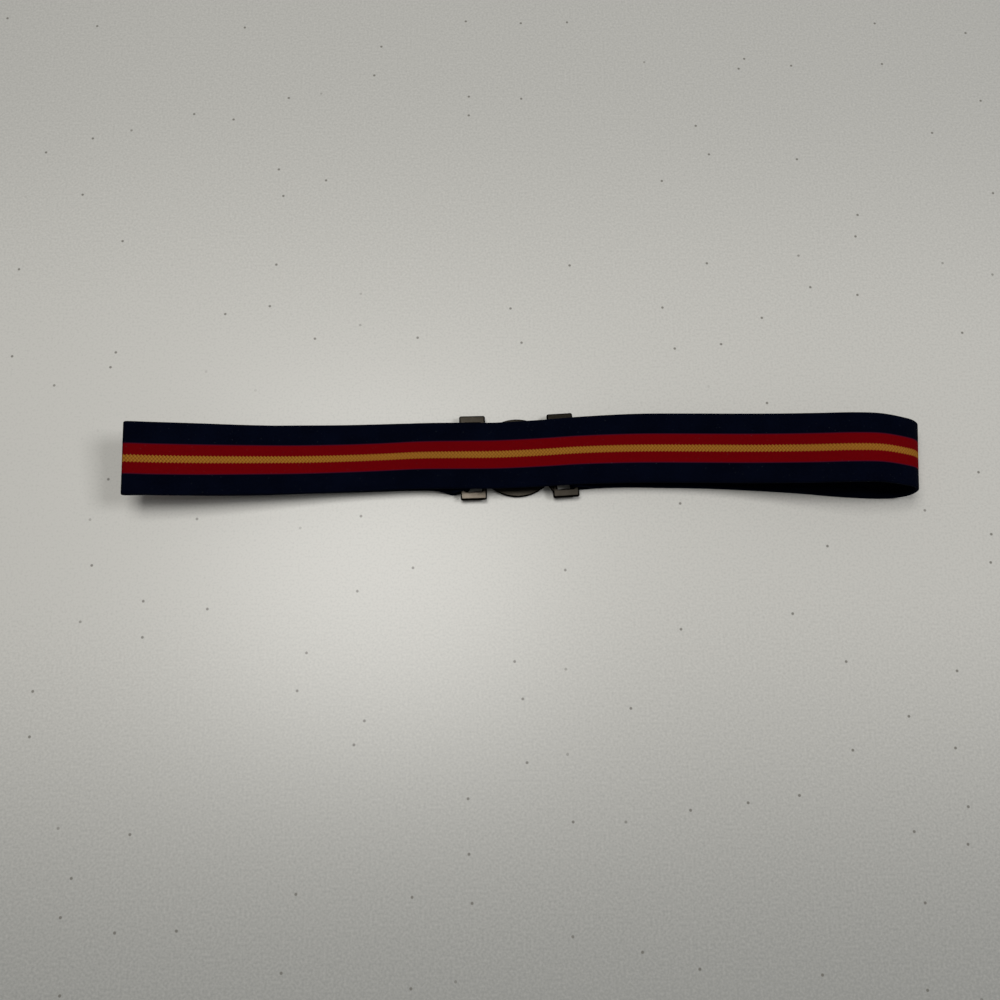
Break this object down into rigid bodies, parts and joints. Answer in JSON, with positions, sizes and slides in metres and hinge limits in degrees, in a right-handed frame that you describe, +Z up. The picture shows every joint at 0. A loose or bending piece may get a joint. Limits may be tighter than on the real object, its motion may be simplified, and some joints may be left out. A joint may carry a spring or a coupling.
{
  "type": "elastic belt",
  "caption": "Striped elastic webbing belt with a cast disc clasp, lying fastened as a flattened loop with the clasp's face down.",
  "frame": {"origin": "on the surface that the belt lies on, under the middle of its box", "axes": "+X along the flattened belt, from the tight raised fold to the open round one; +Y from its near edge to its far edge; +Z up, away from the surface"},
  "size_m": [0.4188, 0.051, 0.0295],
  "materials": {
    "elastic_webbing": "woven elastic, navy with two red stripes and a gold stripe between them, matt",
    "cast_metal": "cast metal, antique bronze, worn brighter on the edges"
  },
  "bodies": {
    "root": {"strap": "elastic_webbing", "clasp_disc_half": "cast_metal", "clasp_slot_half": "cast_metal"}
  },
  "joints": []
}
